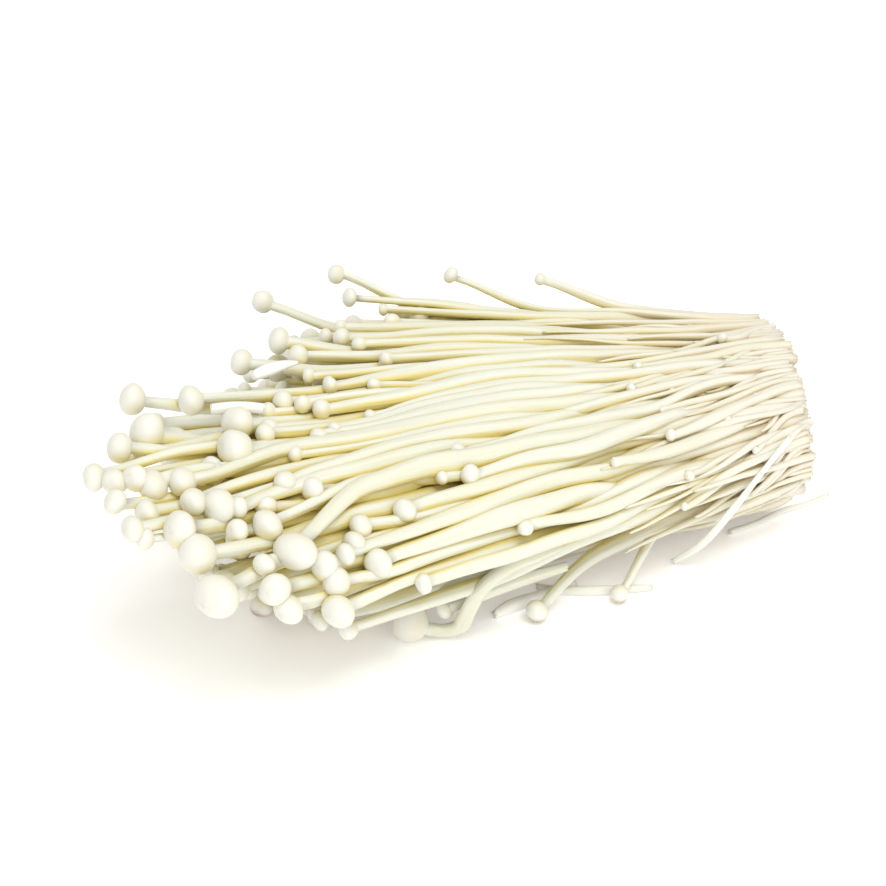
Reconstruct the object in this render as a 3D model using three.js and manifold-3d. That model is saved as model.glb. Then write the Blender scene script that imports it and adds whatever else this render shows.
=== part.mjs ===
// Enoki mushroom bunch: a cut cluster of long, thin mushrooms that lies on its side.
// Millimetres, +Z up. The origin is on the small flat spot under the bunch. The cut end faces +X,
// the caps fan out towards -X, and -Y is the near side.
//
// A place in the bunch is given by its reach (the distance from the cut end), its bearing round the
// cross-section (0 is the near side, 90 the top, 180 the far side, -90 the underside) and its rim
// share (1 on the bunch's outside, 0 on its axis).

import * as THREE from "three";
import { mergeVertices } from "three/addons/utils/BufferGeometryUtils.js";
import Module from "manifold-3d";

// The bunch's envelope. Each pair is the size at the cut end and at LENGTH.
const CUT_END = 60; // x of the cut end
const LENGTH = 130;
const HALF_WIDTH = [21, 60];
const TOP = [31, 40];
const MIDDLE = [15, 16]; // the height of the axis
const BOXED_OUT = { power: 2 / 3, from: 30, to: 80 }; // towards the caps the table presses the underside flat

// How far the caps reach: a rounded fan, bevelled on its far upper side, on its underside and along the
// table on its near side.
const FAN = { reach: 133, rounding: 0.02 };
const UPPER_BEVEL = { reach: 235, perSide: 1.95, perHeight: 3.34 };
const LOWER_BEVEL = { reach: 101, perHeight: 1.2 };
const NEAR_BEVEL = { reach: 134, perSide: 1.7, perHeight: 3.15 };
const SHOULDER = { reach: 98, height: 31, perSide: 0.62 }; // what is higher than this ends sooner

// Stems
const ROOT_RADIUS = 1.1;
const STEM_SLIMNESS = { base: 0.75, perCap: 0.17 }; // a stem's radius from its cap's diameter
const FULL_WIDTH_AT = 0.6; // the share of its length at which a stem is at its thickest
const NECK = { from: 0.7, width: 0.75 }; // past this share it narrows to this part of its width
const RIM_RISE = 1.6; // how late long stems come out to the rim
const ROOT_RIM = 0.86; // stems start below the core's surface, and the longest ones deeper
const ROOT_CROWDING = 0.27;
const BEND_LENGTH = 16; // the last stretch, where a stem bends to its cap
const WAVE = 0.9;
const WAVE_LENGTH = 21;
const FLOOR_GAP = 0.05;

// Where the root splits into three lobes, and how the stems twist inside each of them
const LOBES = [
  { from: -90, to: 20, twist: 20 },
  { from: 20, to: 65, twist: 9 },
  { from: 65, to: 270, twist: 0 },
];
const GROOVE = { depth: 0.1, width: 7 };
const CUT = { farLobe: -1.2, underside: 3 }; // the reach at which the far lobe and the underside are cut

// The core: the inner part of the bunch, where the stems have grown together. Its reach, rim share and
// the depth of the ribs that stems lying side by side make in its surface, at each station.
const CORE = [
  [0, 0.98, 0.06],
  [22, 0.98, 0.06],
  [44, 0.97, 0.05],
  [57, 0.93, 0],
  [65, 0.78, 0.08],
  [86, 0.72, 0.12],
  [100, 0.58, 0.16],
];
const STEPPED = { from: 86, by: 5 }; // from here its ribs end at different reaches, like stems
const RIBS = 24;
const BELLY = { from: 44, to: 65, around: 8, rim: 1.014 }; // the flat spot that the bunch rests on

// A cap's outline, as shares of its radius: distance along the axis from its centre, and radius
const CAP_OUTLINE = [
  [-0.55, 0.74],
  [-0.1, 1.0],
  [0.45, 0.74],
  [0.82, 0],
];

// The mushrooms that stand out, chosen one by one: reach, bearing, rim share, cap diameter and,
// where the stem bends to its cap, how far the cap swings sideways and up.
const STANDING_OUT = [
  // the furthest caps, from the top down
  [122, 81, 1.05, 5.5, 0, 3],
  [112, 80, 1.05, 5.5, 0, -1],
  [121, 71, 1, 6.5, 0, 3],
  [126, 69, 1, 5, 0, 2],
  [131, 63, 0.97, 4.5, 0, -3],
  [125, 60, 1, 4.5],
  [117, 58, 1, 5.5],
  [129, 55, 1, 4],
  [127, 48, 1, 4.5],
  [112, 50, 1, 5.5],
  [120, 46, 1, 6],
  [117, 38, 1, 7],
  [116, 27, 1, 7.5, -1, -1],
  // the upper side
  [105, 71, 1, 5.5],
  [100, 69, 0.98, 4, 0, 1],
  [107, 63, 1, 6.5, 0, 1],
  [96, 78, 0.97, 4.5, 0, -1],
  [90, 73, 1, 4],
  [92, 65, 1, 3.5],
  [82, 68, 1, 3],
  [90, 86, 1, 3],
  [87, 81, 1, 3],
  [79, 80, 1, 2.5],
  [101, 92, 1.02, 5, 0, 1],
  [93, 100, 1.05, 5, 0, 1],
  [78, 100, 1, 3],
  [75, 91, 1, 3],
  // the near side
  [96, 49, 1, 4, 0, 2],
  [105, 42, 1, 5.5, 0, -2],
  [110, 41, 0.96, 4],
  [102, 34, 1.02, 7, -3, -5],
  [91, 30, 1, 4.5],
  [88, 21, 1, 5],
  [97, 25, 1, 5],
  [95, 19, 1, 5],
  [106, 22, 1, 5.5],
  [96, 10, 1.02, 6],
  [81, 36, 1, 4],
  [73, 44, 1, 2.5, 0, 1],
  [69, 51, 1, 3.5],
  [68, 42, 1.02, 3.5],
  [60, 19, 1, 3, 0, 1],
  [80, 8, 1, 3],
  // on the table
  [80, -48, 1.02, 7, -2, -2],
  [75, -46, 0.95, 3.5, -3, -1],
  [57, -43, 1.19, 4, -4, -3],
  [41, -41, 1.32, 3.5, -8, -5],
  // short ones on the outside
  [41, 35, 1.03, 2],
  [29, 40, 1.03, 2],
  [30, 75, 1.02, 2],
  // far upper ones that stand up from the rest
  [92, 122, 1.1, 4.5, 0, 4],
  [77, 122, 1.33, 3.5, 2, 5],
  [76, 121, 1.16, 3.5],
  [56, 122, 1.34, 3, 1, 4],
  [39, 122, 1.36, 2.5, 1, 3],
];

// The rest of the outside, and the mushrooms inside that show only at the front
const FAR_SIDE = { count: 20, from: 102, to: 232, shortest: 0.7 };
const UNDERSIDE = { count: 13, from: -128, to: 4, shortest: 0.85 };
const INSIDE = { count: 7, innermost: 0.25, outermost: 0.8, shortest: 0.9 };
const PLAIN_CAP = [3, 5.5]; // the range of these mushrooms' cap diameters

// Facets
const STEM_STATIONS = { straight: [0, 0.6, 1], bent: [0, 0.5, 0.82, 1] };
const SUNK = 0.05; // a stem's solid starts this much below the core's rim share
const SIDES = 5;
const FACET_SWELL = 1.1; // a polygon's corner radius for a circle of about the same area

// Loose stems that lie beside the bunch: the points that each one's axis passes, and its radii
const LOOSE_STEMS = {
  loose_stem_leaning: { radii: [0.45, 0.6], points: [[32.5, -24.5, 0.7], [42.5, -28, 12], [54.5, -23, 23]] },
  loose_stem_curved: { radii: [0.5, 0.8], points: [[6, -26, 0.9], [13, -29, 0.9], [26, -31.5, 0.9]] },
  loose_stem_trailing: { radii: [0.45, 0.6], points: [[46, -18, 0.7], [58, -14, 0.7], [69, -10.5, 0.7]] },
};
const LOOSE_SEGMENTS = 6;

const COLOURS = { bunch: 0xf3eed6, loose: 0xf4efe2 };

const DEGREE = Math.PI / 180;
const GOLDEN_TURN = 137.508;
const UP = new THREE.Vector3(0, 0, 1);
const { lerp, clamp } = THREE.MathUtils;
const eased = (share) => THREE.MathUtils.smoothstep(share, 0, 1);

const wasm = await Module();
wasm.setup();

// A seeded draw between two values
let seed = 20;
function draw(low, high) {
  seed = (seed * 1664525 + 1013904223) % 4294967296;
  return lerp(low, high, seed / 4294967296);
}

function place(reach, bearing, rim) {
  const share = reach / LENGTH;
  const middle = lerp(...MIDDLE, share);
  let across = Math.cos(bearing * DEGREE);
  let up = Math.sin(bearing * DEGREE);
  let height = lerp(...TOP, share) - middle;
  if (up < 0) {
    const power = lerp(1, BOXED_OUT.power, eased((reach - BOXED_OUT.from) / (BOXED_OUT.to - BOXED_OUT.from)));
    across = Math.sign(across) * Math.abs(across) ** power;
    up = -(Math.abs(up) ** power);
    height = middle;
  }
  const side = -lerp(...HALF_WIDTH, share) * across * rim;
  return new THREE.Vector3(CUT_END - reach, side, middle + height * up * rim);
}

// The furthest reach of a mushroom with this bearing and rim share
function furthest(bearing, rim) {
  let low = 0;
  let high = LENGTH;
  while (high - low > 0.1) {
    const reach = (low + high) / 2;
    const { y, z } = place(reach, bearing, rim);
    const limit = Math.min(
      FAN.reach - FAN.rounding * y * y,
      UPPER_BEVEL.reach - UPPER_BEVEL.perSide * y - UPPER_BEVEL.perHeight * z,
      LOWER_BEVEL.reach + LOWER_BEVEL.perHeight * z,
      NEAR_BEVEL.reach + NEAR_BEVEL.perSide * y + NEAR_BEVEL.perHeight * z,
      z + SHOULDER.perSide * y > SHOULDER.height ? SHOULDER.reach : LENGTH,
    );
    if (reach < limit) low = reach;
    else high = reach;
  }
  return low;
}

// The bearing at the root of a mushroom whose cap is at this bearing
function rootBearing(bearing) {
  const lobe = LOBES.find(({ from, to }) => bearing >= from && bearing < to);
  if (!lobe) return bearing;
  return bearing + lobe.twist * Math.sin((Math.PI * (bearing - lobe.from)) / (lobe.to - lobe.from));
}

function mushroom(reach, bearing, rim, cap, swingSide = 0, swingUp = 0) {
  return {
    reach,
    bearing,
    rim,
    cap,
    bent: Math.hypot(swingSide, swingUp) > 1,
    swing: new THREE.Vector3(0, swingSide + draw(-0.8, 0.8), swingUp + draw(-0.8, 0.8)),
    rootBearing: rootBearing(bearing) + draw(-3, 3),
    rootRim: ROOT_RIM * Math.min(rim, 1) * (1 - ROOT_CROWDING * clamp((reach - 55) / 75, 0, 1)),
    radius: STEM_SLIMNESS.base + STEM_SLIMNESS.perCap * cap * draw(0.85, 1.15),
    phase: 2 * bearing * DEGREE + draw(-0.6, 0.6),
  };
}

function allMushrooms() {
  const all = STANDING_OUT.map((row) => mushroom(...row));
  for (const { count, from, to, shortest } of [FAR_SIDE, UNDERSIDE]) {
    for (let i = 0; i < count; i += 1) {
      const bearing = lerp(from, to, (i + 0.5) / count) + draw(-2, 2);
      all.push(mushroom(furthest(bearing, 0.98) * draw(shortest, 1), bearing, 0.98, draw(...PLAIN_CAP)));
    }
  }
  for (let i = 0; i < INSIDE.count; i += 1) {
    const bearing = ((i * GOLDEN_TURN + 90) % 360) - 90;
    const rim = lerp(INSIDE.innermost, INSIDE.outermost, Math.sqrt((i + 0.5) / INSIDE.count));
    const reach = furthest(bearing, rim) * draw(INSIDE.shortest, 1);
    all.push(mushroom(reach, bearing, rim, draw(...PLAIN_CAP)));
  }
  return all;
}

function stemRadius(m, reach) {
  const share = reach / m.reach;
  const width = lerp(ROOT_RADIUS, m.radius, eased(share / FULL_WIDTH_AT));
  return width * lerp(1, NECK.width, eased((share - NECK.from) / (1 - NECK.from)));
}

function rimAt(m, reach) {
  return lerp(m.rootRim, m.rim, clamp(reach / m.reach, 0, 1) ** RIM_RISE);
}

// A point on a stem's axis. The stem follows the bunch, waves a little and swings to its cap.
function stemPoint(m, reach) {
  const share = clamp(reach / m.reach, 0, 1);
  const point = place(reach, lerp(m.rootBearing, m.bearing, eased(share)), rimAt(m, reach));
  const before = 1 - eased((reach - m.reach + BEND_LENGTH) / BEND_LENGTH);
  point.addScaledVector(m.swing, -before * share);
  const wave = WAVE * Math.sin(Math.PI * share);
  point.y += wave * Math.sin(reach / WAVE_LENGTH + m.phase);
  point.z += wave * Math.cos(reach / WAVE_LENGTH + m.phase);
  point.z = Math.max(point.z, stemRadius(m, reach) * FACET_SWELL + FLOOR_GAP);
  return point;
}

// The axis of a whole mushroom, with its direction. Past the cap's centre it runs straight on.
function axisOf(m) {
  const tip = stemPoint(m, m.reach);
  tip.z = Math.max(tip.z, (m.cap / 2) * FACET_SWELL + FLOOR_GAP);
  const direction = tip.clone().sub(stemPoint(m, m.reach - 2)).normalize();
  return (reach) => {
    if (reach > m.reach - m.cap / 2) {
      return { point: tip.clone().addScaledVector(direction, reach - m.reach), direction };
    }
    const point = stemPoint(m, reach);
    return { point, direction: point.clone().sub(stemPoint(m, reach - 1)).normalize() };
  };
}

// Bends a solid that was turned round the Y axis so that its axis follows another one
function bendAlong(geometry, axis) {
  const corners = geometry.getAttribute("position");
  for (let i = 0; i < corners.count; i += 1) {
    const { point, direction } = axis(corners.getY(i));
    const sideways = new THREE.Vector3().crossVectors(direction, UP).normalize();
    const upwards = new THREE.Vector3().crossVectors(sideways, direction);
    point.addScaledVector(sideways, corners.getX(i)).addScaledVector(upwards, corners.getZ(i));
    corners.setXYZ(i, point.x, point.y, point.z);
  }
  return geometry;
}

function solidOf(geometry) {
  const plain = new THREE.BufferGeometry();
  plain.setAttribute("position", geometry.getAttribute("position"));
  plain.setIndex(geometry.getIndex());
  const merged = mergeVertices(plain, 1e-4);
  return new wasm.Manifold(
    new wasm.Mesh({
      numProp: 3,
      vertProperties: merged.getAttribute("position").array,
      triVerts: new Uint32Array(merged.getIndex().array),
    }),
  );
}

// Where a stem's own solid starts, sunk in the core just before it comes out
function startOf(m) {
  return CORE.slice(0, -1).findLast(([reach, rim]) => rimAt(m, reach) < rim - SUNK)[0];
}

function mushroomSolid(m) {
  const start = startOf(m);
  const neck = m.reach - m.cap * 0.42;
  const profile = [new THREE.Vector2(0, start)];
  for (const share of m.bent ? STEM_STATIONS.bent : STEM_STATIONS.straight) {
    const reach = lerp(start, neck, share);
    profile.push(new THREE.Vector2(stemRadius(m, reach) * FACET_SWELL, reach));
  }
  for (const [along, radius] of CAP_OUTLINE) {
    profile.push(new THREE.Vector2((radius * m.cap * FACET_SWELL) / 2, m.reach + (along * m.cap) / 2));
  }
  return solidOf(bendAlong(new THREE.LatheGeometry(profile, SIDES), axisOf(m)));
}

// The core's rim share: ribbed, with a groove between two lobes and a flat spot below
function coreRim(reach, rim, ribDepth, bearing, isRib) {
  const belly = Math.abs(bearing + 90) < BELLY.around;
  if (belly && reach >= BELLY.from && reach <= BELLY.to) return BELLY.rim;
  const grooves = LOBES.slice(1).map(({ from }) => Math.exp(-(((bearing - from) / GROOVE.width) ** 2)));
  return rim - GROOVE.depth * Math.max(...grooves) - (isRib ? 0 : ribDepth);
}

// How much further than its station a point of the core is
function coreShift(reach, bearing, i) {
  if (reach > STEPPED.from) return STEPPED.by * (i % 2 === 0 ? ((i / 2) % 3) - 1 : -1.4);
  if (reach > 0) return 0;
  return bearing > 65 ? CUT.farLobe : CUT.underside * eased((-15 - bearing) / 25);
}

function coreSolid() {
  const corners = [];
  const around = RIBS * 2;
  for (const [reach, rim, ribDepth] of CORE) {
    for (let i = 0; i < around; i += 1) {
      const bearing = -90 + (i * 360) / around;
      const share = coreRim(reach, rim, ribDepth, bearing, i % 2 === 0);
      corners.push(...place(reach + coreShift(reach, bearing, i), bearing, share).toArray());
    }
  }
  const faces = [];
  for (let ring = 0; ring + 1 < CORE.length; ring += 1) {
    for (let i = 0; i < around; i += 1) {
      const a = ring * around + i;
      const b = ring * around + ((i + 1) % around);
      faces.push(a, b, a + around, b, b + around, a + around);
    }
  }
  const last = corners.length / 3;
  corners.push(...place(0, 0, 0).toArray(), ...place(CORE.at(-1)[0], 0, 0).toArray());
  for (let i = 0; i < around; i += 1) {
    const next = (i + 1) % around;
    const end = last - around;
    faces.push(last, next, i, last + 1, end + i, end + next);
  }
  const geometry = new THREE.BufferGeometry();
  geometry.setAttribute("position", new THREE.Float32BufferAttribute(corners, 3));
  geometry.setIndex(faces);
  return solidOf(geometry);
}

// Keeps the main body, without loose scraps, and fills what the joined stems have sealed in
function mainBody(solid) {
  const bodies = solid.decompose();
  return bodies.reduce((largest, body) => (body.volume() > largest.volume() ? body : largest));
}

function meshOf(solid, name, colour) {
  const { numProp, vertProperties, triVerts } = solid.getMesh();
  const geometry = new THREE.BufferGeometry();
  const corners = new THREE.InterleavedBuffer(vertProperties, numProp);
  geometry.setAttribute("position", new THREE.InterleavedBufferAttribute(corners, 3, 0));
  geometry.setIndex(new THREE.BufferAttribute(triVerts, 1));
  const material = new THREE.MeshStandardMaterial({ color: colour, roughness: 0.5, metalness: 0 });
  const mesh = new THREE.Mesh(geometry.toNonIndexed(), material);
  mesh.name = name;
  return mesh;
}

function bunch() {
  const table = new THREE.BoxGeometry(300, 300, 20).translate(0, 0, -10);
  const stems = allMushrooms().map(mushroomSolid);
  const joined = stems.reduce((whole, stem) => whole.add(stem), coreSolid());
  return meshOf(mainBody(joined.subtract(solidOf(table))), "enoki_bunch", COLOURS.bunch);
}

function looseStem(name, { radii, points }) {
  const curve = new THREE.CatmullRomCurve3(points.map((p) => new THREE.Vector3(...p)));
  const profile = [new THREE.Vector2(0, 0)];
  for (let i = 0; i <= LOOSE_SEGMENTS; i += 1) {
    const share = i / LOOSE_SEGMENTS;
    profile.push(new THREE.Vector2(lerp(...radii, share), share));
  }
  profile.push(new THREE.Vector2(0, 1));
  const axis = (share) => ({ point: curve.getPoint(share), direction: curve.getTangent(share) });
  const solid = solidOf(bendAlong(new THREE.LatheGeometry(profile, SIDES), axis));
  return meshOf(solid, name, COLOURS.loose);
}

const root = new THREE.Group();
root.add(bunch());
for (const [name, stem] of Object.entries(LOOSE_STEMS)) {
  root.add(looseStem(name, stem));
}

export default root;
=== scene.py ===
"""Enoki mushroom bunch: the looks of a cut cluster of long, thin mushrooms that lies on its side.

The layout is worked out in millimetres by the same rules as the CAD part, then built in metres. A place
in the bunch is given by its reach (the distance from the cut end), its bearing round the cross-section
(0 is the near side, 90 the top, 180 the far side, -90 the underside) and its rim share (1 on the
outside, 0 on the axis).
"""

import math

import bpy
import numpy as np
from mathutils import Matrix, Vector


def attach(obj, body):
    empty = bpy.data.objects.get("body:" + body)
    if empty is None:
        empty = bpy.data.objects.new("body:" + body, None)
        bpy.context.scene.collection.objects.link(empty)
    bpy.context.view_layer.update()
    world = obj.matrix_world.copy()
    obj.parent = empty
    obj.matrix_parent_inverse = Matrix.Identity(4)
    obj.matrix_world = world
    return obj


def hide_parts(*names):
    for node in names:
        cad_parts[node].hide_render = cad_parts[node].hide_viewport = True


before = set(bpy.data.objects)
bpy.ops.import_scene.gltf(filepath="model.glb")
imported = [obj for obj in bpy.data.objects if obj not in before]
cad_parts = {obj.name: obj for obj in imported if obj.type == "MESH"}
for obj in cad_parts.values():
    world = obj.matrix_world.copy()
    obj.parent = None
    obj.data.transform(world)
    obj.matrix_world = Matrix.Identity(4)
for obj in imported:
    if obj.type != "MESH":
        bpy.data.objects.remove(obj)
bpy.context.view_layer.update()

MM = 0.001

# The bunch's envelope, in millimetres. Each pair is the size at the cut end and at LENGTH.
CUT_END = 60.0
LENGTH = 130.0
HALF_WIDTH = (21.0, 60.0)
TOP = (31.0, 40.0)
MIDDLE = (15.0, 16.0)
BOXED_OUT = {"power": 2 / 3, "from": 30, "to": 80}  # towards the caps the table presses the underside flat

# How far the caps reach: a rounded fan, bevelled on its far upper side, on its underside and along the
# table on its near side
FAN = {"reach": 133, "rounding": 0.02}
UPPER_BEVEL = {"reach": 235, "per_side": 1.95, "per_height": 3.34}
LOWER_BEVEL = {"reach": 101, "per_height": 1.2}
NEAR_BEVEL = {"reach": 134, "per_side": 1.7, "per_height": 3.15}
SHOULDER = {"reach": 98, "height": 31, "per_side": 0.62}  # what is higher than this ends sooner

# Stems
ROOT_RADIUS = 1.15
STEM_BASE = 0.75
STEM_PER_CAP = 0.17
STEM_SPREAD = (0.85, 1.15)
FREE_STEM = {"rim": 1.05, "width": 0.8}  # one that stands further off the bunch is slimmer
GIRTH = (0.78, 1.22)
FULL_AT = (0.45, 0.75)  # the share of its length at which a stem is at its thickest
NECK = {"from": 0.7, "over": 0.3, "width": 0.7}
SWELLS = ((0.06, 8), (0.03, 3.4))  # how much a stem's width varies, and over what length
RIM_RISE = 1.6
ROOT_RIM = 0.97
ROOT_CROWDING = {"most": 0.27, "from": 55, "over": 75}  # long stems start further inside
ROOT_SPREAD = 3
SWING_SPREAD = 0.8
PHASE_SPREAD = 0.6
CHOSEN_GIVE = 0.25  # how much one that has its own place gives way near its cap
BEND_LENGTH = 16
WAVE = 0.9
WAVE_LENGTH = 21
FLOOR_GAP = 0.05
LOWEST = 0.02  # no point is nearer to the table
LOBES = ((-90, 20, 20), (20, 65, 9), (65, 270, 0))  # from, to, twist

# The cut end: ragged, a little longer in the far lobe and shorter on the underside
CUT_RAGGED = (-0.5, 0.9)
FAR_LOBE = {"from": 65, "longer": 1.2}
UNDERSIDE_CUT = {"shorter": 3.0, "below": -15, "over": 25}

# The mushrooms that stand out: reach, bearing, rim share, cap diameter and, where the stem bends to its
# cap, how far the cap swings sideways and up.
STANDING_OUT = (
    # the furthest caps, from the top down
    (122, 81, 1.05, 5.5, 0, 3),
    (112, 80, 1.05, 5.5, 0, -1),
    (121, 71, 1, 6.5, 0, 3),
    (126, 69, 1, 5, 0, 2),
    (131, 63, 0.97, 4.5, 0, -3),
    (125, 60, 1, 4.5),
    (117, 58, 1, 5.5),
    (129, 55, 1, 4),
    (127, 48, 1, 4.5),
    (112, 50, 1, 5.5),
    (120, 46, 1, 6),
    (117, 38, 1, 7),
    (116, 27, 1, 7.5, -1, -1),
    # the upper side
    (105, 71, 1, 5.5),
    (100, 69, 0.98, 4, 0, 1),
    (107, 63, 1, 6.5, 0, 1),
    (96, 78, 0.97, 4.5, 0, -1),
    (90, 73, 1, 4),
    (92, 65, 1, 3.5),
    (82, 68, 1, 3),
    (90, 86, 1, 3),
    (87, 81, 1, 3),
    (79, 80, 1, 2.5),
    (101, 92, 1.02, 5, 0, 1),
    (93, 100, 1.05, 5, 0, 1),
    (78, 100, 1, 3),
    (75, 91, 1, 3),
    # the near side
    (96, 49, 1, 4, 0, 2),
    (105, 42, 1, 5.5, 0, -2),
    (110, 41, 0.96, 4),
    (102, 34, 1.02, 7, -3, -5),
    (91, 30, 1, 4.5),
    (88, 21, 1, 5),
    (97, 25, 1, 5),
    (95, 19, 1, 5),
    (106, 22, 1, 5.5),
    (96, 10, 1.02, 6),
    (81, 36, 1, 4),
    (73, 44, 1, 2.5, 0, 1),
    (69, 51, 1, 3.5),
    (68, 42, 1.02, 3.5),
    (60, 19, 1, 3, 0, 1),
    (80, 8, 1, 3),
    # on the table
    (80, -48, 1.02, 7, -2, -2),
    (75, -46, 0.95, 3.5, -3, -1),
    (57, -43, 1.19, 4, -4, -3),
    (41, -41, 1.32, 3.5, -8, -5),
    # short ones on the outside
    (41, 35, 1.03, 2),
    (29, 40, 1.03, 2),
    (30, 75, 1.02, 2),
    # far upper ones that stand up from the rest
    (92, 122, 1.1, 4.5, 0, 4),
    (77, 122, 1.33, 3.5, 2, 5),
    (76, 121, 1.16, 3.5),
    (56, 122, 1.34, 3, 1, 4),
    (39, 122, 1.36, 2.5, 1, 3),
)
FAR_SIDE = (20, 102, 232, 0.7)  # count, from, to, shortest
UNDERSIDE = (13, -128, 4, 0.85)
INSIDE = (7, 0.25, 0.8, 0.9)  # count, innermost, outermost, shortest
OUTER_RIM = 0.98
BEARING_SPREAD = 2
PLAIN_CAP = (3, 5.5)
GOLDEN_TURN = 137.508

# More of the mushrooms that stand out, which the CAD part leaves out
ALSO_STANDING_OUT = (
    (128, 61, 0.98, 4.5),
    (122, 59, 1, 5.5),
    (124, 52, 0.95, 5),
    (125, 45, 0.97, 3.5),
    (112, 60, 0.96, 5.5),
    (99, 75, 0.95, 3.5),
    (93, 75, 1, 3.5),
    (89, 66, 1, 3),
    (104, 47, 0.97, 4),
    (89, 35, 1, 4),
    (104, 17, 1, 5),
    (90, 97, 0.97, 4.5),
    (70, 121, 1.08, 2.5),
    # behind the lowest caps
    (113, 22, 0.8, 4.5),
    (110, 12, 0.75, 4),
    (109, 30, 0.68, 4.5),
    (108, 21, 0.58, 5),
    (107, 4, 0.62, 4),
    (103, 6, 0.82, 4),
    (100, -6, 0.7, 4),
    (117, 40, 0.8, 4.5),
    (116, 14, 0.45, 4.5),
    (114, 2, 0.4, 4),
    (111, -8, 0.5, 4.5),
    (116, 26, 0.52, 4),
    (107, -20, 0.55, 4),
    (114, 10, 0.6, 4),
    # in the crowd of caps above them
    (116, 52, 1, 4.5),
    (100, 52, 1.02, 4),
    (97, 60, 1, 3),
    (101, 68, 1, 3.5),
    (109, 48, 1.01, 3.5),
    (93, 28, 1.02, 3.5),
    (107, 32, 1, 4),
    (125, 69, 0.98, 4.5),
)

# The stems that fill the rest of the bunch
STEM_COUNT = 280
FILL_RIM = 0.93
FILL_WIDEST = (0.92, 1.02)
CROSSING = 6  # how far round the bunch one runs over its neighbours, at most
FILL_OUTSIDE = 0.75  # from this rim share on, a stem counts as an outer one
FILL_SEEN = (-70, 125)  # the bearings at which the outer ones are nearly full length
SEEN_LENGTH = (0.88, 1.0)
OUTER_LENGTH = (0.72, 1.0)
INNER_LENGTH = (0.8, 0.93)

# Short, thin stems on the outside of the root
THREADS = 80
THREAD_REACH = (10, 50)
THREAD_CAP = (1.3, 2.2)
THREAD_RIM = (0.97, 1.03)
THREAD_ROOT_RIM = (0.93, 1.0)
THREAD_RADIUS = (0.5, 0.8)
THREAD_ROOT_RADIUS = (0.5, 0.75)
THREAD_WIDEST = 1.03
THREAD_ARC = {"from": -70, "over": 230}  # the bearings of most
CAPPED_THREADS = 5  # every fifth has a cap, and is at any bearing
THREAD_LEAN = 16  # how far round the bunch one runs, at most

# Stems with a course of their own: (x, y, z, radius) from the root end to the tip, and the cap's
# diameter, or 0 where the end is broken off
HOOKED_PLACE = (80, -48)  # where the list above has the first of these, as a plain one
HOOKED_CAP = (-20, -36, 3.6)
HOOK_ROOM = 15  # no other mushroom ends this near to it
BENT_STEMS = (
    (
        ((16, -28, 12, 1.1), (4, -34, 13.5, 1.4), (-4, -37.5, 13.5, 1.5), (-8.5, -39, 11, 1.4),
         (-10.5, -38, 6, 1.3), (-11.5, -37, 2.8, 1.4), (-13.5, -36.2, 1.8, 1.3), (-17, -35.6, 2.4, 1.2)),
        7.2,
    ),
    (((10, -30, 7, 0.9), (0, -33.5, 8, 1.1), (-8, -35.5, 7.5, 1.0), (-12.5, -35.6, 6.3, 0.9)), 3.4),
    (((6, -32, 11, 0.9), (-4, -34.5, 11.5, 1.1), (-12, -35.5, 10.5, 1.0), (-15.5, -35.2, 9.4, 0.9)), 3.6),
)
BROKEN_STEMS = (
    (
        ((-3.8, -32.6, 0.9, 0.7), (-1, -31.5, 1.1, 1.1), (4, -30, 1.2, 1.0), (9, -28.5, 1.2, 0.9),
         (12.6, -27.3, 1.2, 0.9)),
        0,
    ),
    (
        ((-40.2, -14.6, 38.4, 0.85), (-43, -14.2, 38.8, 0.95), (-46, -13.8, 39, 0.95),
         (-49, -13.4, 38.9, 0.9)),
        0,
    ),
    (((-31.2, -0.2, 38.4, 0.3), (-34, -1.4, 38.9, 0.8), (-37, -2.8, 39.1, 1.05), (-39.9, -4, 39, 0.8)), 0),
)
LOOSE_STEMS = (
    (
        "leaning_stem", "loose_stem_leaning",
        ((32.5, -24.5, 0.7, 0.45), (36.5, -26.6, 4.6, 0.6), (42.6, -27, 12, 0.6), (47.5, -25.6, 17, 0.46),
         (54.5, -23, 23, 0.5)),
    ),
    (
        "curved_stem", "loose_stem_curved",
        ((6, -26, 0.9, 0.55), (9, -28, 0.9, 0.7), (13, -29.4, 0.9, 0.8), (19, -30.6, 0.9, 0.75),
         (26, -31.5, 0.7, 0.45)),
    ),
    (
        "trailing_stem", "loose_stem_trailing",
        ((46, -18, 0.7, 0.6), (52, -16.4, 0.7, 0.55), (58, -14, 0.8, 0.6), (64, -12.4, 0.7, 0.45),
         (69, -10.5, 0.6, 0.35)),
    ),
)
HAND_MADE_REACH = 40  # these are coloured as stems are this much further from the cut end
BENT_SEED = 11
BROKEN_SEED = 12

# The pieces that the bunch is made in, by bearing
PIECES = (
    ("underside", -1000, -40),
    ("table_side", -40, 5),
    ("near_side", 5, 55),
    ("top", 55, 110),
    ("far_side", 110, 190),
    ("far_underside", 190, 1000),
)

# How stems make room for each other, section by section
SECTION_STEP = 4.0
SECTIONS = 35
ROUNDS = 45
EASE = 2.2  # the part of an overlap that one round clears is 1 over this
HELD = {"before_tip": 40, "over": 36}  # where one that has its own place gives way less and less
NOT_ZERO = 1e-6
CLEARANCE = 0.1
CAP_REACH = 2.6
TIP_HOLD = 0.6
PRESSED = 0.9  # how near two stems come, as a share of their radii together
RIPPLE = (0.15, 0.75)
RIPPLE_LENGTH = (5.5, 9)
KINK = (0.05, 0.28)
KINK_LENGTH = (2.6, 4)

NOOK_REACH = 7  # how far off a stem still shades another
NOOK_DEPTH = 1.3
NEAREST = 1e-3
# how high above the table the painted underside shade fades out
UNDERSIDE_SHADE_HEIGHT = 8

# A stem's section: how often a lobe comes round, and how high it is
WOBBLE = ((2, 0.11), (3, 0.05), (5, 0.03))
TWIST_LENGTH = 30
RAGGED_RING = 0.3

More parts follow.
